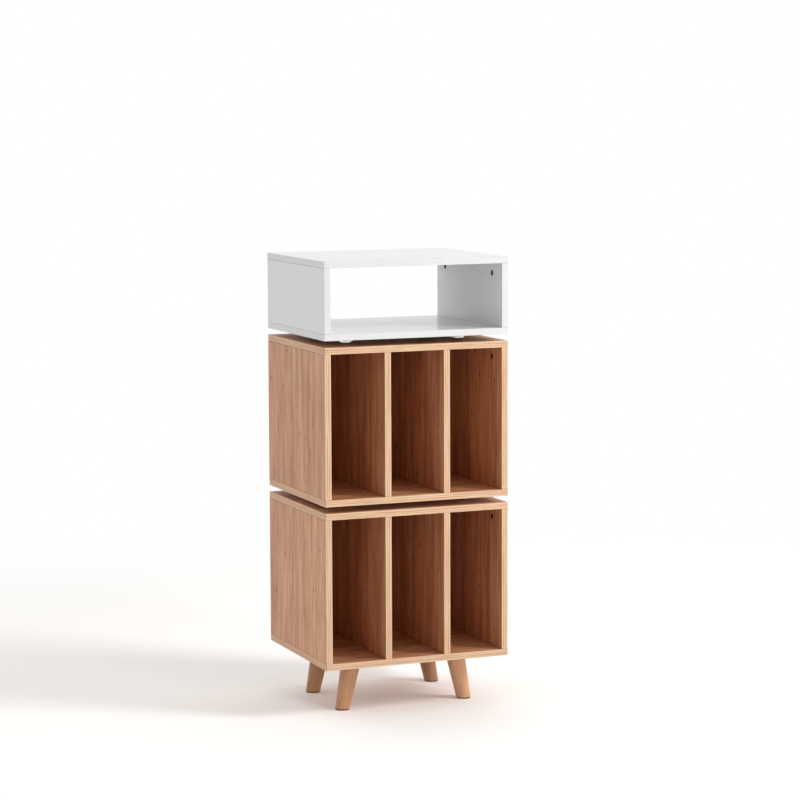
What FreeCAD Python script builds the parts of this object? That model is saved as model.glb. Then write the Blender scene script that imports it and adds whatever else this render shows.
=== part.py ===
import FreeCAD, Part
import math
import os

# A rack of three stacked modules: two cubes with upright bays, closed at the rear, and a low shelf
# on top that is open at both ends.
# Millimetres. Front towards -Y, floor at Z = 0, origin under the middle of the rack.

# Modules
unit_width = 475.0
unit_depth = 400.0
cube_height = 380.0
shelf_height = 188.0
stack_gap = 16.0
panel_thickness = 16.0
back_thickness = 5.0
back_lap = 8.0
back_clearance = 0.3
band_thickness = 1.0
band_radius = 0.6

# Fittings: cam locks and bolts above, confirmat screws below, dowels beside both
fitting_inset_front = 59.0
fitting_inset_rear = 51.0
dowel_step = 32.0
hole_clearance = 0.1
blind_skin = 4.0
tip_gap = 1.0
cam_radius = 7.5
cam_skin = 3.5
cam_setback = 27.0
cam_cross_size = 8.0
bolt_thread_radius = 3.0
bolt_shank_radius = 3.5
bolt_neck_radius = 2.2
bolt_head_radius = 3.2
bolt_head_length = 3.0
dowel_radius = 4.0
dowel_length = 30.0
confirmat_length = 50.0
confirmat_shank_radius = 3.5
confirmat_thread_radius = 2.8
confirmat_head_radius = 5.0
confirmat_head_length = 3.0
confirmat_socket_width = 4.0
confirmat_socket_depth = 3.0
back_screw_radius = 1.5
back_screw_head_radius = 3.0
back_screw_head_length = 1.8
back_screw_length = 18.0
back_screw_cross_size = 3.6
back_screw_inset = 45.0
back_screws_per_upright = 4
back_screws_per_deck = 3
cross_slot_share = 0.2
cross_depth_share = 0.3

# Stacking feet under the two upper modules
foot_inset_side = 91.5
foot_inset_end = 98.0
foot_radius = 16.5
foot_rim_radius = 1.5
pad_radius = 14.0
pad_proud = 0.6
pad_seat = 2.0
stud_radius = 4.0
stud_in_foot = 9.0
insert_radius = 6.0

# Legs under the base cube
leg_height = 120.0
leg_inset_side = 100.5
leg_inset_end = 97.0
leg_splay = 11.6
leg_top_radius = 24.0
leg_foot_radius = 17.5
leg_plate_size = 72.0
leg_plate_corner = 8.0
leg_plate_thickness = 2.5
leg_nut_width = 13.0
leg_nut_height = 6.5
leg_nut_room = 1.0
leg_bolt_radius = 4.0
leg_bolt_depth = 40.0
leg_screw_inset = 9.0
leg_screw_radius = 2.0
leg_screw_head_radius = 4.0
leg_screw_head_height = 2.4
leg_screw_cross_size = 4.5
glide_thickness = 3.0
glide_inset = 0.8
glide_pin_radius = 1.5
glide_pin_length = 12.0

RIGHT = FreeCAD.Vector(1, 0, 0)
BACK = FreeCAD.Vector(0, 1, 0)
FRONT = FreeCAD.Vector(0, -1, 0)
UP = FreeCAD.Vector(0, 0, 1)

side = unit_width / 2
front = -unit_depth / 2
rear = unit_depth / 2
back_face = rear - back_thickness
core_front = front + band_thickness
foot_x = side - foot_inset_side
foot_y = rear - foot_inset_end
leg_top_x = side - leg_inset_side
leg_y = rear - leg_inset_end
blind_depth = panel_thickness - blind_skin
cam_depth = panel_thickness - cam_skin
fitting_rows = (front + fitting_inset_front, rear - fitting_inset_rear)
dowel_rows = (fitting_rows[0] + dowel_step, fitting_rows[1] - dowel_step)


class Module:
    """One box of the stack, with its uprights spaced evenly from side to side."""

    def __init__(self, name, underside, height, dividers, closed):
        self.name = name
        self.closed = closed
        self.core_rear = rear if closed else rear - band_thickness
        self.underside = underside
        self.top = underside + height
        self.floor = underside + panel_thickness
        self.ceiling = self.top - panel_thickness
        self.uprights = ["left_side"] + dividers + ["right_side"]
        self.pitch = (unit_width - panel_thickness) / (len(self.uprights) - 1)

    def middle_of(self, upright):
        return -side + panel_thickness / 2 + self.pitch * self.uprights.index(upright)

    def cam_face(self, upright):
        """Which way an upright's cams face: inwards on the sides, to the right on the dividers."""
        return -1 if upright == "right_side" else 1

    def joints(self, rows):
        """Points in plan where a fitting joins an upright to a deck."""
        return [(self.middle_of(upright), y) for upright in self.uprights for y in rows]


cube_pitch = cube_height + stack_gap
dividers = ["left_divider", "right_divider"]
base = Module("base", leg_height, cube_height, dividers, True)
middle = Module("middle", leg_height + cube_pitch, cube_height, dividers, True)
shelf = Module("shelf", leg_height + 2 * cube_pitch, shelf_height, [], False)


def block(x0, x1, y0, y1, z0, z1):
    return Part.makeBox(x1 - x0, y1 - y0, z1 - z0, FreeCAD.Vector(x0, y0, z0))


def rod(radius, x, y, z0, z1):
    return Part.makeCylinder(radius, z1 - z0, FreeCAD.Vector(x, y, z0))


def joined(pieces):
    return pieces[0].multiFuse(pieces[1:]).removeSplitter()


def driver_cross(point, inward, size):
    """The cross recess for a driver, sunk from a point on a head's face."""
    reach = size / 2
    half_slot = size * cross_slot_share / 2
    depth = size * cross_depth_share
    cross = joined([block(-reach, reach, -half_slot, half_slot, 0, depth),
                    block(-half_slot, half_slot, -reach, reach, 0, depth)])
    cross.Placement = FreeCAD.Placement(point, FreeCAD.Rotation(UP, inward))
    return cross


def hexagon(width, x, y, z0, z1):
    """A six-sided bar of a given width across its flats."""
    reach = width / math.sqrt(3)
    turns = [math.radians(60 * i) for i in range(7)]
    points = [FreeCAD.Vector(x + reach * math.cos(turn), y + reach * math.sin(turn), z0) for turn in turns]
    return Part.Face(Part.makePolygon(points)).extrude(UP * (z1 - z0))


def corners(x, y):
    return [(sx * x, sy * y) for sx in (-1, 1) for sy in (-1, 1)]


def spread(low, high, count):
    return [low + (high - low) * i / (count - 1) for i in range(count)]


def save(name, solids):
    shape = solids[0] if len(solids) == 1 else Part.makeCompound(solids)
    shape.exportStep("parts/%s.step" % name)


def back_block(module, grow):
    """The space of a module's back panel, grown sideways by a clearance."""
    reach = side - panel_thickness + back_lap + grow
    low = module.floor - back_lap - grow
    high = module.ceiling + back_lap + grow
    return block(-reach, reach, back_face, rear, low, high)


def back_screw_points(module):
    """Screw places along the middle of the back panel's lap, as (x, z)."""
    lap_middle = side - panel_thickness + back_lap / 2
    low = module.floor + back_screw_inset
    high = module.ceiling - back_screw_inset
    heights = spread(low, high, back_screws_per_upright)
    across = spread(-side + 2 * back_screw_inset, side - 2 * back_screw_inset, back_screws_per_deck)
    uprights = [(sx * lap_middle, z) for sx in (-1, 1) for z in heights]
    decks = [(x, z) for x in across for z in (module.floor - back_lap / 2, module.ceiling + back_lap / 2)]
    return uprights + decks


def back_screw_space(x, z, grow):
    """A countersunk screw's outline, flush with the back; grown, it is the hole for it."""
    tip = FreeCAD.Vector(x, rear - back_screw_length - grow, z)
    radius = back_screw_radius + grow
    shank = Part.makeCylinder(radius, back_screw_length + grow, tip, BACK)
    neck = FreeCAD.Vector(x, rear - back_screw_head_length, z)
    head = Part.makeCone(radius, back_screw_head_radius + grow, back_screw_head_length, neck, BACK)
    return joined([shank, head])


def back_screw(x, z):
    cross = driver_cross(FreeCAD.Vector(x, rear, z), FRONT, back_screw_cross_size)
    return back_screw_space(x, z, 0.0).cut(cross)


def confirmat_space(module, x, y, grow):
    """The outline of a screw up through the bottom panel into an upright; grown, it is the hole for it."""
    bottom = module.underside
    neck = FreeCAD.Vector(x, y, bottom)
    radius = confirmat_shank_radius + grow
    head = Part.makeCone(confirmat_head_radius + grow, radius, confirmat_head_length, neck)
    shank = rod(radius, x, y, bottom, module.floor)
    thread = rod(confirmat_thread_radius + grow, x, y, bottom, bottom + confirmat_length + grow)
    return joined([head, shank, thread])


def confirmat(module, x, y):
    """A countersunk screw with a hexagon socket in its head."""
    bottom = module.underside
    socket = hexagon(confirmat_socket_width, x, y, bottom, bottom + confirmat_socket_depth)
    return confirmat_space(module, x, y, 0.0).cut(socket)


def dowel_below(module, x, y, grow=0.0):
    """A dowel between the bottom panel and an upright; grown, it is the hole for it."""
    low = module.floor - blind_depth + tip_gap
    return rod(dowel_radius + grow, x, y, low - grow, low + dowel_length + grow)


def dowel_above(module, x, y, grow=0.0):
    """A dowel between an upright and the top panel; grown, it is the hole for it."""
    high = module.ceiling + blind_depth - tip_gap
    return rod(dowel_radius + grow, x, y, high - dowel_length - grow, high + grow)


def cam_bolt(module, x, y):
    """A bolt screwed into the top panel, with its head in the cam."""
    cam_z = module.ceiling - cam_setback
    thread = rod(bolt_thread_radius, x, y, module.ceiling, module.ceiling + blind_depth - tip_gap)
    shank = rod(bolt_shank_radius, x, y, cam_z + cam_radius, module.ceiling)
    neck = rod(bolt_neck_radius, x, y, cam_z, cam_z + cam_radius)
    head = rod(bolt_head_radius, x, y, cam_z - bolt_head_length, cam_z)
    return joined([thread, shank, neck, head])


def cam_space(module, upright, y, radius):
    """The round space of a cam, from an upright's face inwards."""
    facing = module.cam_face(upright)
    face_x = module.middle_of(upright) + facing * panel_thickness / 2
    centre = FreeCAD.Vector(face_x, y, module.ceiling - cam_setback)
    return Part.makeCylinder(radius, cam_depth, centre, RIGHT * -facing)


def cam_channel(module, x, y):
    """The bolt's way from an upright's top edge to just past the cam's middle."""
    cam_z = module.ceiling - cam_setback
    return rod(bolt_shank_radius + hole_clearance, x, y, cam_z - bolt_head_length - tip_gap, module.ceiling)


def cam_lock(module, upright, y):
    """A round cam with a bore for the bolt and a cross recess for the driver."""
    x = module.middle_of(upright)
    facing = module.cam_face(upright)
    face = FreeCAD.Vector(x + facing * panel_thickness / 2, y, module.ceiling - cam_setback)
    cam = cam_space(module, upright, y, cam_radius - hole_clearance)
    return cam.cut([cam_channel(module, x, y), driver_cross(face, RIGHT * -facing, cam_cross_size)])


def upright_panel(module, upright):
    """A side or a divider, bored for its fittings; a closed module's sides are rebated for the back."""
    x = module.middle_of(upright)
    outer = upright in ("left_side", "right_side")
    end = module.core_rear if outer else back_face
    half = panel_thickness / 2
    panel = block(x - half, x + half, core_front, end, module.floor, module.ceiling)
    cuts = [cam_space(module, upright, y, cam_radius) for y in fitting_rows]
    cuts += [cam_channel(module, x, y) for y in fitting_rows]
    cuts += [confirmat_space(module, x, y, hole_clearance) for y in fitting_rows]
    cuts += [dowel_below(module, x, y, hole_clearance) for y in dowel_rows]
    cuts += [dowel_above(module, x, y, hole_clearance) for y in dowel_rows]
    if outer and module.closed:
        cuts.append(back_block(module, back_clearance))
        points = [(sx, z) for sx, z in back_screw_points(module) if abs(sx - x) < half]
        cuts += [back_screw_space(sx, z, hole_clearance) for sx, z in points]
    return panel.cut(cuts)


def deck_core(module, low):
    """A top or bottom panel's board, without its edge bands."""
    reach = side - band_thickness
    return block(-reach, reach, core_front, module.core_rear, low, low + panel_thickness)


def deck_cuts(module, low):
    """The rebate and the screw holes for a closed module's back that fall in a deck."""
    if not module.closed:
        return []
    middle_z = low + panel_thickness / 2
    points = [(x, z) for x, z in back_screw_points(module) if abs(z - middle_z) < panel_thickness / 2]
    return [back_block(module, back_clearance)] + [back_screw_space(x, z, hole_clearance) for x, z in points]


def top_panel(module):
    cuts = deck_cuts(module, module.ceiling)
    cuts += [dowel_above(module, x, y, hole_clearance) for x, y in module.joints(dowel_rows)]
    bore = bolt_thread_radius + hole_clearance
    depth = module.ceiling + blind_depth
    cuts += [rod(bore, x, y, module.ceiling, depth) for x, y in module.joints(fitting_rows)]
    return deck_core(module, module.ceiling).cut(cuts)


def bottom_panel(module, seat_cuts):
    cuts = deck_cuts(module, module.underside) + seat_cuts
    cuts += [dowel_below(module, x, y, hole_clearance) for x, y in module.joints(dowel_rows)]
    cuts += [confirmat_space(module, x, y, hole_clearance) for x, y in module.joints(fitting_rows)]
    return deck_core(module, module.underside).cut(cuts)


def back_panel(module):
    holes = [back_screw_space(x, z, hole_clearance) for x, z in back_screw_points(module)]
    return back_block(module, 0.0).cut(holes)


def eased(strip, normal, distance):
    """An edge band with the edges of its outer face rounded over."""
    near = band_thickness / 4
    outer = [face for face in strip.Faces if abs(face.CenterOfMass.dot(normal) - distance) < near]
    return strip.makeFillet(band_radius, outer[0].Edges)


def cross_bands(module, x0, x1, z0, z1):
    """A band on a board's front edge, and one on its rear edge where the module is open there."""
    bands = [eased(block(x0, x1, front, core_front, z0, z1), BACK, front)]
    if not module.closed:
        bands.append(eased(block(x0, x1, module.core_rear, rear, z0, z1), BACK, rear))
    return bands


def upright_bands(module):
    half = panel_thickness / 2
    bands = []
    for upright in module.uprights:
        x = module.middle_of(upright)
        bands += cross_bands(module, x - half, x + half, module.floor, module.ceiling)
    return bands


def deck_bands(module):
    """Bands across the top and bottom panels, and along both of their ends."""
    inner = side - band_thickness
    end = module.core_rear
    bands = []
    for low in (module.underside, module.ceiling):
        high = low + panel_thickness
        bands += cross_bands(module, -side, side, low, high)
        bands.append(eased(block(-side, -inner, core_front, end, low, high), RIGHT, -side))
        bands.append(eased(block(inner, side, core_front, end, low, high), RIGHT, side))
    return bands


def stack_foot(x, y, underside):
    """A turned metal cup, bored for its stud above and hollowed for its pad below."""
    low = underside - stack_gap + pad_proud
    cup = rod(foot_radius, x, y, low, underside)
    circles = [edge for edge in cup.Edges if edge.Length > foot_radius * math.pi]
    rim = min(circles, key=lambda edge: edge.CenterOfMass.z)
    cup = cup.makeFillet(foot_rim_radius, [rim])
    stud_bore = rod(stud_radius + hole_clearance, x, y, underside - stud_in_foot, underside)
    pad_hollow = rod(pad_radius + hole_clearance, x, y, low, low + pad_seat)
    return cup.cut([stud_bore, pad_hollow])


def foot_pad(x, y, underside):
    ground = underside - stack_gap
    return rod(pad_radius, x, y, ground, ground + pad_proud + pad_seat)


def foot_stud(x, y, underside):
    return rod(stud_radius, x, y, underside - stud_in_foot, underside + blind_depth)


def foot_insert(x, y, underside):
    sleeve = rod(insert_radius, x, y, underside, underside + blind_depth)
    return sleeve.cut(rod(stud_radius + hole_clearance, x, y, underside, underside + blind_depth))


def insert_hole(x, y, underside):
    return rod(insert_radius + hole_clearance, x, y, underside, underside + blind_depth)


def leg_cone(right, y, inset, z0, z1):
    """A slice between two levels of the splayed, tapered leg, drawn in by an inset."""
    slope = math.tan(math.radians(leg_splay))
    taper = (leg_top_radius - leg_foot_radius) / leg_height
    below = leg_foot_radius
    start = FreeCAD.Vector(right * (leg_top_x + (leg_height + below) * slope), y, -below)
    axis = FreeCAD.Vector(-right * slope, 0, 1)
    rise = leg_height + 2 * below
    length = rise * axis.Length
    cone = Part.makeCone(leg_foot_radius - below * taper - inset, leg_top_radius + below * taper - inset,
                         length, start, axis)
    reach = leg_top_x + rise * slope + 2 * leg_top_radius
    return cone.common(block(-reach, reach, y - 2 * leg_top_radius, y + 2 * leg_top_radius, z0, z1))


def leg_foot_x():
    return leg_top_x + leg_height * math.tan(math.radians(leg_splay))


def leg(right, y):
    """A turned leg cut level at both ends, bored for its bolt above and its glide's pin below."""
    head = leg_height - leg_plate_thickness
    body = leg_cone(right, y, 0.0, glide_thickness, head)
    bolt_hole = rod(leg_bolt_radius + hole_clearance, right * leg_top_x, y, head - leg_bolt_depth, head)
    pin_end = glide_thickness + glide_pin_length
    pin_hole = rod(glide_pin_radius + hole_clearance, right * leg_foot_x(), y, glide_thickness, pin_end)
    return body.cut([bolt_hole, pin_hole])


def glide(right, y):
    pad = leg_cone(right, y, glide_inset, 0.0, glide_thickness)
    pin = rod(glide_pin_radius, right * leg_foot_x(), y, 0.0, glide_thickness + glide_pin_length)
    return joined([pad, pin])


def leg_screw_points(x, y):
    reach = leg_plate_size / 2 - leg_screw_inset
    return [(x + dx, y + dy) for dx, dy in corners(reach, reach)]


def leg_plate(x, y):
    """A square steel plate with rounded corners and a nut welded over its middle."""
    half = leg_plate_size / 2
    low = leg_height - leg_plate_thickness
    plate = block(x - half, x + half, y - half, y + half, low, leg_height)
    upright_edges = [edge for edge in plate.Edges if abs(edge.tangentAt(0).z) > 0.5]
    plate = plate.makeFillet(leg_plate_corner, upright_edges)
    nut = hexagon(leg_nut_width, x, y, leg_height, leg_height + leg_nut_height)
    bolt_hole = rod(leg_bolt_radius + hole_clearance, x, y, low, leg_height + leg_nut_height)
    screw_bore = leg_screw_radius + hole_clearance
    screw_holes = [rod(screw_bore, px, py, low, leg_height) for px, py in leg_screw_points(x, y)]
    return joined([plate, nut]).cut([bolt_hole] + screw_holes)


def leg_bolt(x, y):
    head = leg_height - leg_plate_thickness
    return rod(leg_bolt_radius, x, y, head - leg_bolt_depth, leg_height + leg_nut_height)


def leg_screw(x, y):
    low = leg_height - leg_plate_thickness
    shank = rod(leg_screw_radius, x, y, low, leg_height + blind_depth - tip_gap)
    head_face = low - leg_screw_head_height
    head = rod(leg_screw_head_radius, x, y, head_face, low)
    return joined([head, shank]).cut(driver_cross(FreeCAD.Vector(x, y, head_face), UP, leg_screw_cross_size))


def leg_seat_cuts(x, y):
    """What the bottom panel gives up for one leg plate: room for the nut, and four screw holes."""
    nut_radius = leg_nut_width / math.sqrt(3) + leg_nut_room
    cuts = [rod(nut_radius, x, y, leg_height, leg_height + leg_nut_height + leg_nut_room)]
    bore = leg_screw_radius + hole_clearance
    cuts += [rod(bore, px, py, leg_height, leg_height + blind_depth) for px, py in leg_screw_points(x, y)]
    return cuts


def save_module(module, seat_cuts):
    """One module's panels, bands and fittings."""
    save(module.name + "_bottom_panel", [bottom_panel(module, seat_cuts)])
    save(module.name + "_top_panel", [top_panel(module)])
    for upright in module.uprights:
        save(module.name + "_" + upright, [upright_panel(module, upright)])
    save(module.name + "_upright_bands", upright_bands(module))
    save(module.name + "_deck_bands", deck_bands(module))
    cams = [cam_lock(module, upright, y) for upright in module.uprights for y in fitting_rows]
    save(module.name + "_cam_locks", cams)
    save(module.name + "_cam_bolts", [cam_bolt(module, x, y) for x, y in module.joints(fitting_rows)])
    dowels = [dowel_below(module, x, y) for x, y in module.joints(dowel_rows)]
    dowels += [dowel_above(module, x, y) for x, y in module.joints(dowel_rows)]
    save(module.name + "_dowels", dowels)
    save(module.name + "_confirmat_screws", [confirmat(module, x, y) for x, y in module.joints(fitting_rows)])
    if module.closed:
        save(module.name + "_back_panel", [back_panel(module)])
        save(module.name + "_back_screws", [back_screw(x, z) for x, z in back_screw_points(module)])


def save_feet(module):
    """The four short feet that an upper module stands on."""
    places = corners(foot_x, foot_y)
    level = module.underside
    save(module.name + "_stack_feet", [stack_foot(x, y, level) for x, y in places])
    save(module.name + "_foot_pads", [foot_pad(x, y, level) for x, y in places])
    save(module.name + "_foot_studs", [foot_stud(x, y, level) for x, y in places])
    save(module.name + "_foot_inserts", [foot_insert(x, y, level) for x, y in places])


def save_legs():
    """The four splayed legs with their plates, bolts, screws and glides."""
    names = {(-1, -1): "front_left", (1, -1): "front_right", (-1, 1): "back_left", (1, 1): "back_right"}
    for (right, behind), name in names.items():
        save("leg_" + name, [leg(right, behind * leg_y)])
    save("leg_glides", [glide(right, behind * leg_y) for right, behind in names])
    tops = corners(leg_top_x, leg_y)
    save("leg_plates", [leg_plate(x, y) for x, y in tops])
    save("leg_hanger_bolts", [leg_bolt(x, y) for x, y in tops])
    save("leg_plate_screws", [leg_screw(px, py) for x, y in tops for px, py in leg_screw_points(x, y)])


os.makedirs("parts", exist_ok=True)
leg_cuts = [cut for x, y in corners(leg_top_x, leg_y) for cut in leg_seat_cuts(x, y)]
save_module(base, leg_cuts)
save_legs()
for upper in (middle, shelf):
    save_module(upper, [insert_hole(x, y, upper.underside) for x, y in corners(foot_x, foot_y)])
    save_feet(upper)
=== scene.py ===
import math

import bmesh
import bpy
from mathutils import Matrix, Vector


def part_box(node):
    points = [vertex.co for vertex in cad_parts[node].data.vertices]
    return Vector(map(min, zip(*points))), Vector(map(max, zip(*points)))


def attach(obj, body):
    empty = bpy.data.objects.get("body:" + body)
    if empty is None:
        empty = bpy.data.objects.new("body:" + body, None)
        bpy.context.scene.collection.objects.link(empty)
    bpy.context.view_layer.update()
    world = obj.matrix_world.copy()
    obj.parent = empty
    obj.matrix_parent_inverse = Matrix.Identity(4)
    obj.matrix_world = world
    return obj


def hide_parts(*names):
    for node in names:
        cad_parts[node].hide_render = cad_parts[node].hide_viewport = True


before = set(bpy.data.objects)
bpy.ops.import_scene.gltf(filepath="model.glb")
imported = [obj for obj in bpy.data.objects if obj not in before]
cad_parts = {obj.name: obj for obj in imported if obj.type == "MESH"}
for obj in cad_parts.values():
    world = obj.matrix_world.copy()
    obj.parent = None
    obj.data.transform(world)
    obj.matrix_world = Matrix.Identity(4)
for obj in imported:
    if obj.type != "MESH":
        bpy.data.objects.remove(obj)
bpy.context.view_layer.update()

# The cubes' boards: 16 mm particle board pressed with a printed wood foil on both faces.
# The grain stands upright on the sides and dividers and runs across the width on the decks.
# The rear edges are sawn and left raw.


class Wire:
    """A socket of a finish. Sums, products and comparisons of wires add Math nodes."""

    def __init__(self, tree, socket=None):
        self.tree = tree
        self.socket = socket

    def node(self, kind, settings, values, out=0):
        """Add a node: its settings first, then the values or wires of its sockets."""
        node = self.tree.nodes.new(kind)
        for name, setting in settings.items():
            setattr(node, name, setting)
        self.feed(node, values)
        return Wire(self.tree, node.outputs[out])

    def feed(self, node, values):
        for name, value in values.items():
            if isinstance(value, Wire):
                self.tree.links.new(value.socket, node.inputs[name])
            else:
                node.inputs[name].default_value = value

    def other(self, out):
        """Another output of the same node."""
        return Wire(self.tree, self.socket.node.outputs[out])

    def math(self, operation, *values):
        return self.node("ShaderNodeMath", {"operation": operation}, dict(enumerate(values)))

    def __add__(self, value):
        return self.math("ADD", self, value)

    def __sub__(self, value):
        return self.math("SUBTRACT", self, value)

    def __rsub__(self, value):
        return self.math("SUBTRACT", value, self)

    def __mul__(self, value):
        return self.math("MULTIPLY", self, value)

    def __truediv__(self, value):
        return self.math("DIVIDE", self, value)

    def __mod__(self, value):
        return self.math("FLOORED_MODULO", self, value)

    def __pow__(self, value):
        return self.math("POWER", self, value)

    def __gt__(self, value):
        return self.math("GREATER_THAN", self, value)

    def __lt__(self, value):
        return self.math("LESS_THAN", self, value)

    def __abs__(self):
        return self.math("ABSOLUTE", self)

    __radd__ = __add__
    __rmul__ = __mul__

    def whole(self):
        return self.math("FLOOR", self)

    def rise(self, low, high):
        """Climbs smoothly from 0 at low to 1 at high."""
        return self.node("ShaderNodeMapRange", {"interpolation_type": "SMOOTHSTEP"},
                         {0: self, 1: low, 2: high})

    def at(self, x, y, z):
        return self.node("ShaderNodeCombineXYZ", {}, {0: x, 1: y, 2: z})

    def cloud(self, detail=2.0, roughness=0.5):
        """Noise about a place, from 0 to 1."""
        return self.node("ShaderNodeTexNoise", {}, {"Vector": self, "Scale": 1.0, "Detail": detail,
                                                    "Roughness": roughness})

    def cells(self, dimensions="3D"):
        """Distance to the nearest of the scattered points about a place."""
        return self.node("ShaderNodeTexVoronoi", {"voronoi_dimensions": dimensions},
                         {"Vector": self, "Scale": 1.0})

    def first_channel(self):
        """The red of a colour. The green and the blue are its other outputs."""
        return self.node("ShaderNodeSeparateColor", {}, {0: self})

    def chance(self):
        """Three random numbers that stay the same over one whole number."""
        noise = self.node("ShaderNodeTexWhiteNoise", {"noise_dimensions": "1D"}, {"W": self}, "Color")
        red = noise.first_channel()
        return red, red.other(1), red.other(2)

    def mix(self, first, second):
        """A colour that goes from first to second with this wire."""
        return self.node("ShaderNodeMix", {"data_type": "RGBA"}, {0: self, 6: first, 7: second}, 2)

    def stain(self, colour, tone):
        """A colour multiplied by a tone, as much as this wire says."""
        return self.node("ShaderNodeMix", {"data_type": "RGBA", "blend_type": "MULTIPLY"},
                         {0: self, 6: colour, 7: tone}, 2)

    def bump(self, distance, strength):
        return self.node("ShaderNodeBump", {}, {"Height": self, "Distance": distance, "Strength": strength})


def rgb(red, green, blue):
    return (red, green, blue, 1.0)


def new_finish(name):
    """A material, and the three coordinates of a place on the object in metres."""
    material = bpy.data.materials.new(name)
    material.use_nodes = True
    start = Wire(material.node_tree)
    place = start.node("ShaderNodeTexCoord", {}, {}, "Object")
    x = place.node("ShaderNodeSeparateXYZ", {}, {0: place})
    return material, x, x.other(1), x.other(2)


def set_shader(material, values):
    tree = material.node_tree
    Wire(tree).feed(tree.nodes["Principled BSDF"], values)
    return material


def dress(material, *nodes):
    """Give CAD nodes a finish."""
    for node in nodes:
        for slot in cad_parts[node].material_slots:
            slot.material = material


cube_names = ("base", "middle")
upright_names = ("left_side", "left_divider", "right_divider", "right_side")
cube_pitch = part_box("middle_left_side")[0].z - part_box("base_left_side")[0].z
cube_start = (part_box("base_bottom_panel")[0].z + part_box("base_top_panel")[1].z - cube_pitch) / 2
upright_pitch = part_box("base_left_divider")[0].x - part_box("base_left_side")[0].x
board_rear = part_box("base_left_side")[1].y
band_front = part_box("base_deck_bands")[0].y


def cube_number(z):
    """0 on the base cube and 1 on the middle cube."""
    return ((z - cube_start) / cube_pitch).whole()


def off_cube_middle(z):
    """Height above or below the middle of the cube that a place belongs to."""
    return (z - cube_start) % cube_pitch - cube_pitch / 2


def half_height(node):
    low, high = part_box(node)
    return (high.z - low.z) / 2


def chipboard(x, y, z):
    """The raw edge of particle board: pale and brown chips pressed together."""
    chip = x.at(x * 420, y * 420, z * 900).cells()
    luck = chip.other("Color").first_channel()
    return luck.mix(rgb(0.33, 0.20, 0.105), rgb(0.62, 0.44, 0.27))


def wood_foil(along, across, board):
    """Printed foil: planks side by side, each with its own tone, growth rings, streaks and pores."""
    plank_width = 0.078
    ring_spacing = 0.015
    lane = across / plank_width + board * 0.371
    tone, off_centre, lean = (lane.whole() + board * 17).chance()
    sway = across.at(along * 3.1 + tone * 60, across * 9, board).cloud() - 0.5
    from_heart = (lane % 1.0 - off_centre) * plank_width + sway * 0.014
    from_pith = along * (lean - 0.5) * 0.22 + sway * 0.03 + 0.03
    age = (from_heart * from_heart + from_pith * from_pith) ** 0.5
    ring = age / ring_spacing + across.at(age * 110, board, tone * 9).cloud(3.0) * 3.0
    latewood = (ring % 1.0).rise(0.2, 0.94)
    streak = across.at(across * 52, along * 2.6, board * 3.7).cloud(6.0, 0.68)
    mottle = across.at(across * 75, along * 10, board * 6.1).cloud(3.0, 0.6)
    thread = across.at(across * 210, along * 6.0, board * 1.9).cloud(3.0, 0.6)
    bunch = across.at(across * 21, along * 2.4, board * 8.3).cloud(2.0)
    hair = across.at(across * 1500, along * 26, board * 5.3).cloud(2.0)
    pores = hair.rise(0.56, 0.72)
    fleck_cell = across.at(across * 44 + board * 7.3, along * 19 + board * 3.1, 0.0).cells("2D")
    fleck_luck = fleck_cell.other("Color").first_channel()
    fleck_size = fleck_luck.other(1) * 0.17 + 0.06
    fleck = (1 - (fleck_cell / fleck_size).rise(0.25, 1.0)) * fleck_luck.rise(0.74, 0.97)
    colour = tone.mix(rgb(0.780, 0.455, 0.275), rgb(0.710, 0.398, 0.240))
    colour = (latewood * 0.4).stain(colour, rgb(0.80, 0.69, 0.59))
    colour = (1 - streak.rise(0.36, 0.64)).stain(colour, rgb(0.73, 0.60, 0.49))
    colour = ((1 - thread.rise(0.30, 0.60)) * bunch.rise(0.36, 0.62)).stain(colour, rgb(0.74, 0.62, 0.52))
    colour = ((1 - mottle.rise(0.36, 0.58)) * 0.5).stain(colour, rgb(0.79, 0.68, 0.58))
    colour = (pores * 0.4).stain(colour, rgb(0.66, 0.52, 0.42))
    colour = fleck.stain(colour, rgb(0.50, 0.30, 0.19))
    return colour, streak, pores


def board_finish(name, grain_upright):
    """Foil on the faces, a thin dark cut line where a board ends, and raw board on the rear edge."""
    cut_line = 0.0011
    material, x, y, z = new_finish(name)
    if grain_upright:
        face = (x * 2 / upright_pitch + 4).whole()
        colour, streak, pores = wood_foil(z, y, face + cube_number(z) * 10)
        board_end = abs(off_cube_middle(z)) > half_height("base_left_side") - cut_line
        cut = board_end + (y < band_front + 2 * cut_line)
        colour = (cut * 0.85).stain(colour, rgb(0.36, 0.25, 0.19))
    else:
        deck = (z * 100 + 0.5).whole()
        colour, streak, pores = wood_foil(x, y, deck)
    raw = y > board_rear - 0.0001
    colour = raw.mix(colour, chipboard(x, y, z))
    surface = 0.42 + streak * 0.14 + raw * 0.3
    return set_shader(material, {"Base Color": colour, "Roughness": surface, "Specular IOR Level": 0.4,
                                 "Normal": (1 - pores).bump(0.0002, 0.35)})


upright_finish = board_finish("wood_foil_upright", True)
deck_finish = board_finish("wood_foil_deck", False)
for cube in cube_names:
    dress(upright_finish, *[cube + "_" + upright for upright in upright_names])
    dress(deck_finish, cube + "_bottom_panel", cube + "_top_panel")

# Edge bands of the cubes: 1 mm strips glued over the boards' front edges and the decks' ends.
# The print on them shows thin layers along the strip, and their outer edges are eased by hand.
# The strips on the ends are made a little darker.


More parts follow.
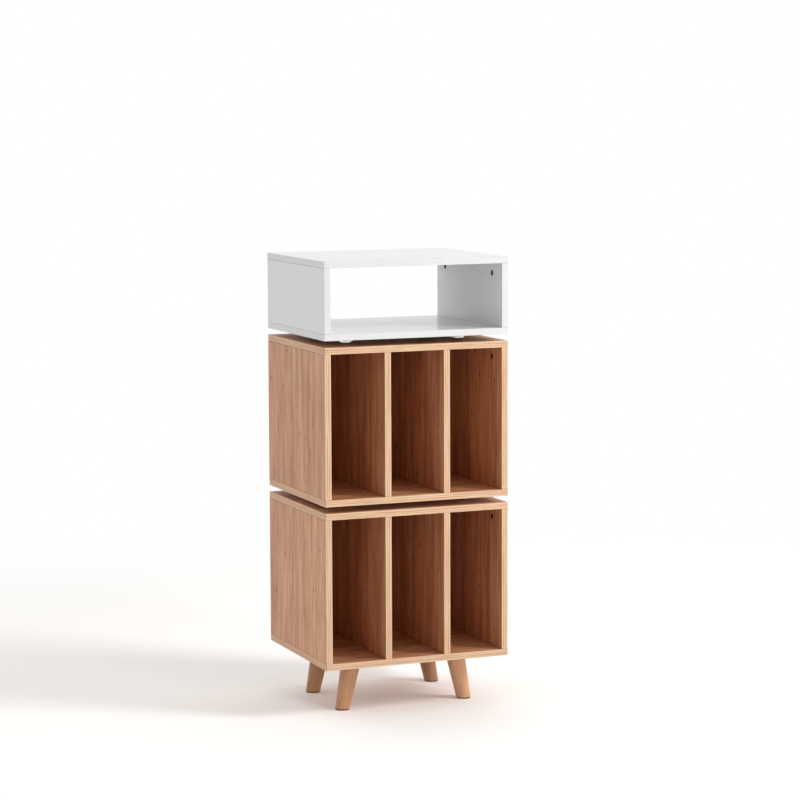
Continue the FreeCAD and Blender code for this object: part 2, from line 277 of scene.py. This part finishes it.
def band_finish(name, upright):
    material, x, y, z = new_finish(name)
    if upright:
        across = ((x / upright_pitch) % 1.0 - 0.5) * upright_pitch
        along = z + (x / upright_pitch).whole() * 3.3
    else:
        deck_low, deck_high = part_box("base_top_panel")
        deck_middle = (deck_low.z + deck_high.z) / 2 - cube_start - cube_pitch / 2
        deck = (z * 100 + 0.5).whole()
        across = abs(off_cube_middle(z)) - deck_middle
        along = x + y + deck * 1.7
    upper_layer, lower_layer = 0.0022, -0.0029
    drift = along.at(along * 6, across * 40, 0.0).cloud() - 0.5
    layer = across + drift * 0.0016
    strength = along.at(along * 11, 4.2, 0.0).cloud(3.0).rise(0.3, 0.65)
    faint = along.at(along * 14, 9.7, 0.0).cloud(3.0).rise(0.35, 0.7)
    first = 1 - abs(layer - upper_layer).rise(0.0003, 0.0015)
    second = 1 - abs(layer - lower_layer).rise(0.0003, 0.0013)
    grain = along.at(along * 7, across * 520, 2.0).cloud(4.0, 0.65)
    fine = along.at(along * 45, across * 3800, 5.0).cloud(2.0)
    colour = grain.rise(0.32, 0.66).mix(rgb(0.652, 0.408, 0.254), rgb(0.806, 0.580, 0.392))
    colour = (first * (strength * 0.7 + 0.3)).stain(colour, rgb(0.62, 0.46, 0.36))
    colour = (second * (faint * 0.7 + 0.3)).stain(colour, rgb(0.64, 0.48, 0.38))
    if upright:
        joint = abs(off_cube_middle(z)) > half_height("base_upright_bands") - 0.0009
        colour = (joint * 0.6).stain(colour, rgb(0.46, 0.34, 0.27))
    else:
        band_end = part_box("base_deck_bands")[1].x
        # The strips on the deck ends are made a little darker.
        end_strip = abs(x) > band_end - 0.0012
        colour = end_strip.stain(colour, rgb(0.92, 0.865, 0.82))
        corner = (y < band_front + 0.0026) * (abs(x) > band_end - 0.0002)
        colour = (corner * 0.7).stain(colour, rgb(0.40, 0.29, 0.22))
    colour = (fine.rise(0.55, 0.75) * 0.3).stain(colour, rgb(0.72, 0.60, 0.50))
    return set_shader(material, {"Base Color": colour, "Roughness": 0.38 + grain * 0.12,
                                 "Specular IOR Level": 0.25, "Normal": fine.bump(0.0001, 0.25)})


upright_band_finish = band_finish("wood_band_upright", True)
deck_band_finish = band_finish("wood_band_deck", False)
for cube in cube_names:
    dress(upright_band_finish, cube + "_upright_bands")
    dress(deck_band_finish, cube + "_deck_bands")

# Back panels of the cubes: thin hardboard let into a rebate, with wood foil on the side that
# faces the bays. The rear face is bare brown fibre, held by small screws round its edge.

back_material, x, y, z = new_finish("wood_foil_back")
colour, streak, _ = wood_foil(z, x, cube_number(z) * 7 + 3)
fibre = x.at(x * 900, y * 900, z * 900).cloud(4.0, 0.7)
patch = x.at(x * 14, y, z * 14).cloud(3.0)
shred = x.at(x * 210, y * 210, z * 260).cloud(6.0, 0.75)
bare = fibre.rise(0.3, 0.7).mix(rgb(0.225, 0.125, 0.062), rgb(0.36, 0.215, 0.115))
bare = (patch.rise(0.35, 0.7) * 0.35).stain(bare, rgb(0.78, 0.74, 0.70))
bare = (1 - shred.rise(0.38, 0.52)).stain(bare, rgb(0.70, 0.66, 0.62))
behind = y > board_rear - 0.001
set_shader(back_material, {"Base Color": behind.mix(colour, bare),
                           "Roughness": 0.45 + streak * 0.12 + behind * 0.3,
                           "Specular IOR Level": 0.35, "Normal": fibre.bump(0.0002, 0.3)})
dress(back_material, "base_back_panel", "middle_back_panel")

# Legs: four tapered beech legs, turned on a lathe, cut level at both ends and stained
# a little darker than the boards, each leg's tone partly stain and partly painted shade. They lean outwards
# to the sides.

leg_radius_top = 0.024
leg_radius_foot = 0.0175
leg_splay = math.tan(math.radians(11.6))
floor_to_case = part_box("base_bottom_panel")[0].z
leg_sides = {"front_left": -1, "front_right": 1, "back_left": -1, "back_right": 1}


def new_piece(name, mesh_builder, material, body, slot, *replaced):
    """A finished object at the origin, its place in its mesh, that stands for CAD nodes."""
    mesh = bpy.data.meshes.new(name)
    mesh_builder.to_mesh(mesh)
    mesh_builder.free()
    mesh.materials.append(material)
    piece = bpy.data.objects.new(name, mesh)
    bpy.context.scene.collection.objects.link(piece)
    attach(piece, body)
    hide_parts(*replaced)


def level_edges(builder, level):
    """Edges that lie at one height."""
    return [edge for edge in builder.edges if all(abs(vert.co.z - level) < 1e-6 for vert in edge.verts)]


def round_over(builder, edges, radius, segments):
    bmesh.ops.bevel(builder, geom=edges, offset=radius, offset_type="OFFSET", affect="EDGES",
                    segments=segments, profile=0.5, material=-1, clamp_overlap=True)


def add_leg_slice(builder, node, right, inset, low, high, eased):
    """A level slice of the leaning cone of one leg, with its rims rounded over."""
    box_low, box_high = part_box(node)
    foot_x = right * ((box_high.x if right > 0 else -box_low.x) - leg_reach)
    axis = Vector((-right * leg_splay, 0.0, 1.0))
    spare = 0.03
    taper = (leg_radius_top - leg_radius_foot) / floor_to_case
    middle = Vector((foot_x, (box_low.y + box_high.y) / 2, 0.0)) + axis * floor_to_case / 2
    turn = Vector((0, 0, 1)).rotation_difference(axis).to_matrix().to_4x4()
    slice_builder = bmesh.new()
    bmesh.ops.create_cone(slice_builder, cap_ends=True, segments=72,
                          radius1=leg_radius_foot - spare * taper - inset,
                          radius2=leg_radius_top + spare * taper - inset,
                          depth=(floor_to_case + 2 * spare) * axis.length,
                          matrix=Matrix.Translation(middle) @ turn)
    for level, facing in ((high, 1), (low, -1)):
        geometry = slice_builder.verts[:] + slice_builder.edges[:] + slice_builder.faces[:]
        bmesh.ops.bisect_plane(slice_builder, geom=geometry, plane_co=(0, 0, level),
                               plane_no=(0, 0, facing), clear_outer=True)
        bmesh.ops.contextual_create(slice_builder, geom=level_edges(slice_builder, level))
    for level in (high, low):
        round_over(slice_builder, level_edges(slice_builder, level), eased, 4)
    for face in slice_builder.faces:
        face.smooth = abs(face.normal.z) < 0.99
    slice_mesh = bpy.data.meshes.new("leg_slice")
    slice_builder.to_mesh(slice_mesh)
    slice_builder.free()
    builder.from_mesh(slice_mesh)
    bpy.data.meshes.remove(slice_mesh)


leg_material, x, y, z = new_finish("turned_beech")
heart_aside, heart_back = 0.125, 0.085
ring_width = 0.0034
sawn_rim = 0.0034
side_sign = x.math("SIGN", x)
from_axis = abs(x) + z * leg_splay
heart_x = from_axis - heart_aside + x.at(z * 5, side_sign * 4, y * 20).cloud() * 0.012
heart_y = abs(y) - heart_back + x.at(z * 4, side_sign * 9, y * 20).cloud() * 0.014
ring = (heart_x * heart_x + heart_y * heart_y) ** 0.5 / ring_width
latewood = (ring % 1.0).rise(0.3, 0.95)
streak = x.at(from_axis * 380, y * 380, z * 7 + side_sign * 5).cloud(4.0, 0.6)
ray = x.at(from_axis * 900, y * 900, z * 95).cells()
pore = x.at(from_axis * 2200, y * 2200, z * 60).cloud(2.0).rise(0.58, 0.72)
# Each leg's own tone, partly stain and partly painted shade: the rear pair darkest, the front right leg
# lightest.
leg_tone_stain_and_shade = 0.5 - x.math("SIGN", y) * (0.35 + side_sign * 0.15)
colour = streak.rise(0.30, 0.70).mix(rgb(0.60, 0.315, 0.168), rgb(0.74, 0.420, 0.236))
colour = (1 - leg_tone_stain_and_shade).stain(colour, rgb(0.58, 0.52, 0.48))
colour = (latewood * 0.5).stain(colour, rgb(0.82, 0.74, 0.68))
colour = ((1 - ray.rise(0.05, 0.25)) * 0.3).stain(colour, rgb(0.72, 0.60, 0.52))
colour = (pore * 0.35).stain(colour, rgb(0.6, 0.48, 0.4))
sawn = abs(z - floor_to_case / 2) > floor_to_case / 2 - sawn_rim
colour = (sawn * 0.5).stain(colour, rgb(0.7, 0.62, 0.56))
set_shader(leg_material, {"Base Color": colour, "Roughness": 0.36 + streak * 0.12,
                          "Specular IOR Level": 0.45, "Normal": (1 - pore).bump(0.0002, 0.3)})

leg_low, leg_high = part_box("leg_front_left")[0].z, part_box("leg_front_left")[1].z
leg_reach = leg_radius_foot * math.sqrt(1 + leg_splay ** 2) - leg_low * leg_splay
leg_easing = 0.0012
for corner, right in leg_sides.items():
    builder = bmesh.new()
    add_leg_slice(builder, "leg_" + corner, right, 0.0, leg_low, leg_high, leg_easing)
    new_piece("turned_leg_" + corner, builder, leg_material, "base_unit", "leg_wood", "leg_" + corner)

# Leg glides: brown moulded plastic discs that keep the legs off the floor.
# Each is a little narrower than its leg, and its pin is driven into the sawn foot.

glide_inset = 0.0008
glide_easing = 0.0006
glide_material, x, y, z = new_finish("glide_plastic")
speckle = x.at(x * 1800, y * 1800, z * 1800).cloud(3.0)
scuff = x.at(x * 260, y * 260, z * 90).cloud(4.0, 0.7)
colour = scuff.rise(0.35, 0.75).mix(rgb(0.085, 0.050, 0.032), rgb(0.150, 0.093, 0.060))
set_shader(glide_material, {"Base Color": colour, "Roughness": 0.48 + scuff * 0.25,
                            "Normal": speckle.bump(0.0001, 0.3)})
builder = bmesh.new()
for corner, right in leg_sides.items():
    add_leg_slice(builder, "leg_" + corner, right, glide_inset, 0.0, leg_low, glide_easing)
new_piece("moulded_glides", builder, glide_material, "base_unit", "glide_plastic", "leg_glides")

# Leg plates: pressed steel plates with a welded nut that takes the leg's bolt.
# They are enamelled black and screwed under the base cube.

plate_material, x, y, z = new_finish("plate_enamel")
peel = x.at(x * 700, y * 700, z * 700).cloud(3.0)
wear = x.at(x * 90, y * 90, z * 90).cloud(5.0, 0.7)
colour = wear.rise(0.4, 0.75).mix(rgb(0.018, 0.018, 0.019), rgb(0.05, 0.05, 0.052))
set_shader(plate_material, {"Base Color": colour, "Roughness": 0.32 + wear * 0.2,
                            "Normal": peel.bump(0.0002, 0.2)})
dress(plate_material, "leg_plates")

# Screws, bolts and studs: steel, cold-headed and plated with zinc.
# The plating is bright, with a faint yellow and blue cast.

zinc_material, x, y, z = new_finish("zinc_plate")
crystal = x.at(x * 1300, y * 1300, z * 1300).cells()
smear = x.at(x * 160, y * 160, z * 420).cloud(4.0, 0.65)
colour = smear.rise(0.3, 0.75).mix(rgb(0.62, 0.63, 0.66), rgb(0.75, 0.72, 0.64))
set_shader(zinc_material, {"Base Color": colour, "Metallic": 1.0, "Roughness": 0.22 + smear * 0.2,
                           "Normal": crystal.bump(0.00005, 0.2)})
for unit in ("base", "middle", "shelf"):
    dress(zinc_material, unit + "_cam_bolts", unit + "_confirmat_screws")
dress(zinc_material, "base_back_screws", "middle_back_screws", "leg_hanger_bolts", "leg_plate_screws",
      "middle_foot_studs", "shelf_foot_studs")

# Cam locks: dark die-cast zinc drums, let into the uprights' faces near the top.
# A turn of the cross slot draws the bolt of the top panel tight.

cam_material, x, y, z = new_finish("cam_casting")
grit = x.at(x * 1600, y * 1600, z * 1600).cloud(4.0, 0.7)
mottle = x.at(x * 300, y * 300, z * 300).cloud(3.0)
colour = mottle.rise(0.3, 0.7).mix(rgb(0.030, 0.030, 0.032), rgb(0.075, 0.074, 0.073))
set_shader(cam_material, {"Base Color": colour, "Metallic": 0.6, "Roughness": 0.5 + mottle * 0.2,
                          "Normal": grit.bump(0.0001, 0.35)})
dress(cam_material, "base_cam_locks", "middle_cam_locks", "shelf_cam_locks")

# Dowels: short beech pegs beside the cams and screws.
# They are glued into every joint and keep the boards in line.

dowel_material, x, y, z = new_finish("beech_dowel")
fibre = x.at(x * 1200, y * 1200, z * 40).cloud(4.0, 0.6)
colour = fibre.rise(0.3, 0.7).mix(rgb(0.52, 0.33, 0.18), rgb(0.70, 0.50, 0.31))
set_shader(dowel_material, {"Base Color": colour, "Roughness": 0.6 + fibre * 0.2,
                            "Normal": fibre.bump(0.0002, 0.4)})
dress(dowel_material, "base_dowels", "middle_dowels", "shelf_dowels")

# Threaded inserts: turned brass sleeves that take the studs of the stacking feet.
# They are pressed into the bottom panels of the two upper modules.

brass_material, x, y, z = new_finish("insert_brass")
tarnish = x.at(x * 220, y * 220, z * 220).cloud(4.0, 0.65)
colour = tarnish.rise(0.3, 0.75).mix(rgb(0.72, 0.49, 0.19), rgb(0.42, 0.27, 0.10))
set_shader(brass_material, {"Base Color": colour, "Metallic": 1.0, "Roughness": 0.25 + tarnish * 0.25,
                            "Normal": tarnish.bump(0.0001, 0.2)})
dress(brass_material, "middle_foot_inserts", "shelf_foot_inserts")

# Stacking feet: turned metal cups, nickel-plated, screwed under each upper module on a stud.
# A shallow groove runs round the cup, which narrows a little to the top. Its rim is rounded over.

foot_radius = 0.0165
rim_easing = 0.0012
pad_seat_radius = 0.0141
pad_seat_depth = 0.002
groove_radius = foot_radius - 0.0014
groove_low, groove_high = 0.0088, 0.0096
groove_slope = 0.0006
below_groove_radius = foot_radius - 0.0005
above_groove_radius = foot_radius - 0.0006
top_radius = foot_radius - 0.001


def spun(builder, profile, centre):
    """Turn a half profile of (radius, height) points about an upright axis and close it."""
    part = bmesh.new()
    verts = [part.verts.new((radius, 0.0, height)) for radius, height in profile]
    edges = [part.edges.new(pair) for pair in zip(verts, verts[1:])]
    bmesh.ops.spin(part, geom=verts + edges, cent=(0, 0, 0), axis=(0, 0, 1), angle=2 * math.pi, steps=64,
                   use_merge=True)
    bmesh.ops.remove_doubles(part, verts=part.verts, dist=1e-6)
    bmesh.ops.recalc_face_normals(part, faces=part.faces)
    rims = [edge for edge in part.edges if len(edge.link_faces) == 2 and edge.calc_face_angle() > 0.5]
    round_over(part, rims, 0.0005, 3)
    for face in part.faces:
        face.smooth = True
    bmesh.ops.translate(part, verts=part.verts, vec=centre)
    mesh = bpy.data.meshes.new("spun_part")
    part.to_mesh(mesh)
    part.free()
    builder.from_mesh(mesh)
    bpy.data.meshes.remove(mesh)


def foot_places(node, radius):
    """Centres of the four like pieces in a node, at the node's lowest level, and its height."""
    low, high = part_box(node)
    places = [Vector((px, py, low.z)) for px in (low.x + radius, high.x - radius)
              for py in (low.y + radius, high.y - radius)]
    return places, high.z - low.z


nickel_material, x, y, z = new_finish("foot_nickel")
turning = x.at(x * 60, y * 60, z * 5200).cloud(3.0)
haze = x.at(x * 130, y * 130, z * 130).cloud(4.0)
colour = haze.rise(0.3, 0.7).mix(rgb(0.74, 0.71, 0.66), rgb(0.82, 0.80, 0.76))
set_shader(nickel_material, {"Base Color": colour, "Metallic": 1.0, "Roughness": 0.06 + haze * 0.08,
                             "Normal": turning.bump(0.00003, 0.25)})
for unit in ("middle", "shelf"):
    places, height = foot_places(unit + "_stack_feet", foot_radius)
    builder = bmesh.new()
    for place in places:
        spun(builder, ((0.0, pad_seat_depth), (pad_seat_radius, pad_seat_depth), (pad_seat_radius, 0.0),
                       (foot_radius - rim_easing, 0.0), (foot_radius, rim_easing),
                       (below_groove_radius, groove_low - groove_slope), (groove_radius, groove_low),
                       (groove_radius, groove_high), (above_groove_radius, groove_high + groove_slope),
                       (top_radius, height), (0.0, height)), place)
    new_piece(unit + "_nickel_feet", builder, nickel_material, unit + "_unit", "foot_nickel",
              unit + "_stack_feet")

# Foot pads: dark moulded rubber discs with a shallow hollow, pressed into the feet.
# They keep each module from sliding on the one below.

pad_radius = 0.014
pad_sole_radius = 0.0132
pad_easing = 0.0008
hollow_radius = 0.0085
hollow_rim_radius = 0.0092
hollow_depth = 0.0006
rubber_material, x, y, z = new_finish("pad_rubber")
bloom = x.at(x * 240, y * 240, z * 240).cloud(5.0, 0.7)
colour = bloom.rise(0.35, 0.75).mix(rgb(0.016, 0.015, 0.014), rgb(0.055, 0.051, 0.047))
set_shader(rubber_material, {"Base Color": colour, "Roughness": 0.7 + bloom * 0.2,
                             "Normal": bloom.bump(0.0002, 0.3)})
for unit in ("middle", "shelf"):
    places, height = foot_places(unit + "_foot_pads", pad_radius)
    builder = bmesh.new()
    for place in places:
        spun(builder, ((0.0, hollow_depth), (hollow_radius, hollow_depth), (hollow_rim_radius, 0.0),
                       (pad_sole_radius, 0.0), (pad_radius, pad_easing), (pad_radius, height),
                       (0.0, height)), place)
    new_piece(unit + "_rubber_pads", builder, rubber_material, unit + "_unit", "pad_rubber",
              unit + "_foot_pads")

# White shelf: four particle boards with a smooth satin white foil, open at the front and at the rear.
# White bands close the edges all round, and a fine shadow line shows where boards meet.


def white_foil(x, y, z):
    cast = x.at(x * 9, y * 9, z * 9).cloud(6.0, 0.8)
    peel = x.at(x * 800, y * 800, z * 800).cloud(2.0)
    return cast.mix(rgb(0.702, 0.711, 0.712), rgb(0.718, 0.726, 0.725)), cast, peel


shelf_low, shelf_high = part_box("shelf_left_side")
shelf_middle = (shelf_low.z + shelf_high.z) / 2
shelf_reach = half_height("shelf_left_side")
white_seam = rgb(0.55, 0.55, 0.57)

white_board, x, y, z = new_finish("white_foil")
colour, cast, peel = white_foil(x, y, z)
rim = (abs(z - shelf_middle) > shelf_reach - 0.0008) + (y < band_front + 0.0020)
on_side = abs(z - shelf_middle) < shelf_reach - 0.0001
colour = (rim * on_side * 0.95).stain(colour, white_seam)
set_shader(white_board, {"Base Color": colour, "Roughness": 0.17 + cast * 0.03,
                         "Specular IOR Level": 0.55, "Normal": peel.bump(0.0001, 0.02)})
dress(white_board, "shelf_bottom_panel", "shelf_top_panel", "shelf_left_side", "shelf_right_side")

white_band, x, y, z = new_finish("white_band")
colour, _, _ = white_foil(x, y, z)
rub = x.at(x * 30, y * 30, z * 500).cloud(3.0)
colour = (rub.rise(0.5, 0.8) * 0.3).stain(colour, rgb(0.93, 0.93, 0.93))
from_joint = abs(abs(z - shelf_middle) - half_height("shelf_upright_bands"))
joint = (from_joint < 0.0005) * (abs(x) > -shelf_high.x)
colour = (joint * 0.6).stain(colour, white_seam)
set_shader(white_band, {"Base Color": colour, "Roughness": 0.34 + rub * 0.12, "Specular IOR Level": 0.4,
                        "Normal": rub.bump(0.00005, 0.05)})
dress(white_band, "shelf_upright_bands", "shelf_deck_bands")

# Floor, light and camera: a pale seamless paper floor, a large soft light from the front right, a
# weaker one lower in front, and light from all round that is strongest from behind.

floor_size = 30.0
fade_start, fade_end = 1.2, 2.6
floor_builder = bmesh.new()
bmesh.ops.create_grid(floor_builder, x_segments=1, y_segments=1, size=floor_size)
floor_mesh = bpy.data.meshes.new("studio_floor")
floor_builder.to_mesh(floor_mesh)
floor_builder.free()
floor = bpy.data.objects.new("studio_floor", floor_mesh)
bpy.context.scene.collection.objects.link(floor)


def seen_by_camera(start):
    """1 where the camera looks, also by way of a mirror or through glass."""
    rays = start.node("ShaderNodeLightPath", {}, {}, "Is Camera Ray")
    straight_or_mirrored = rays.math("MAXIMUM", rays, rays.other("Is Glossy Ray"))
    return rays.math("MAXIMUM", straight_or_mirrored, rays.other("Is Transmission Ray"))


floor_material, x, y, z = new_finish("floor_paper")
seen = seen_by_camera(x)
far = ((x * x + y * y) ** 0.5).rise(fade_start, fade_end)
tooth = x.at(x * 300, y * 300, 0.0).cloud(3.0)
paper = tooth.mix(rgb(0.79, 0.777, 0.760), rgb(0.81, 0.798, 0.782))
sheet = x.node("ShaderNodeBsdfDiffuse", {}, {"Color": paper})
bright_paper = tooth.mix(rgb(0.976, 0.966, 0.950), rgb(0.996, 0.988, 0.974))
bright_sheet = x.node("ShaderNodeBsdfDiffuse", {}, {"Color": bright_paper})
glow = x.node("ShaderNodeEmission", {}, {"Color": rgb(1, 1, 1), "Strength": 0.07})
lifted = x.node("ShaderNodeAddShader", {}, {0: bright_sheet, 1: glow})
white = x.node("ShaderNodeEmission", {}, {"Color": rgb(1, 1, 1), "Strength": 1.0})
near_or_far = x.node("ShaderNodeMixShader", {}, {0: far, 1: lifted, 2: white})
shown = x.node("ShaderNodeMixShader", {}, {0: seen, 1: sheet, 2: near_or_far})
Wire(floor_material.node_tree).feed(floor_material.node_tree.nodes["Material Output"], {"Surface": shown})
floor_mesh.materials.append(floor_material)

world = bpy.data.worlds.new("studio")
world.use_nodes = True
bpy.context.scene.world = world
start = Wire(world.node_tree)
seen = seen_by_camera(start)
direction = start.node("ShaderNodeTexCoord", {}, {}, "Generated")
to_right = start.node("ShaderNodeSeparateXYZ", {}, {0: direction})
to_rear = to_right.other(1)
level = 0.73 + to_rear * 0.67 - to_right * 0.13
room = start.node("ShaderNodeBackground", {}, {"Color": rgb(1.0, 0.985, 0.97), "Strength": level})
backdrop = start.node("ShaderNodeBackground", {}, {"Color": rgb(1, 1, 1), "Strength": 1.0})
shown = start.node("ShaderNodeMixShader", {}, {0: seen, 1: room, 2: backdrop})
start.feed(world.node_tree.nodes["World Output"], {"Surface": shown})


def soft_light(name, place, target, size, power):
    """A round lamp that lights the rack and isn't seen, not in gloss either."""
    lamp = bpy.data.lights.new(name, "AREA")
    lamp.shape = "DISK"
    lamp.size = size
    lamp.energy = power
    lamp_object = bpy.data.objects.new(name, lamp)
    lamp_object.visible_camera = False
    lamp_object.visible_glossy = False
    bpy.context.scene.collection.objects.link(lamp_object)
    aim = (Vector(target) - Vector(place)).to_track_quat("-Z", "Y")
    lamp_object.matrix_world = Matrix.Translation(place) @ aim.to_matrix().to_4x4()


rack_middle = (0.0, 0.0, 0.5)
soft_light("key", (4.15, -3.25, 3.5), rack_middle, 1.95, 212.0)
soft_light("front_fill", (1.8, -5.7, 1.4), rack_middle, 1.6, 100.0)

camera = bpy.data.cameras.new("camera")
camera.sensor_width = 36.0
camera.lens = 118.691
camera_object = bpy.data.objects.new("camera", camera)
bpy.context.scene.collection.objects.link(camera_object)
yaw, pitch, roll = math.radians(22.185), math.radians(6.608), math.radians(-0.213)
camera_object.matrix_world = (Matrix.Translation((-2.4097, -5.9971, 1.4895))
                              @ Matrix.Rotation(-yaw, 4, "Z")
                              @ Matrix.Rotation(math.pi / 2 - pitch, 4, "X")
                              @ Matrix.Rotation(roll, 4, "Z"))
bpy.context.scene.camera = camera_object
bpy.context.scene.view_settings.view_transform = "Standard"
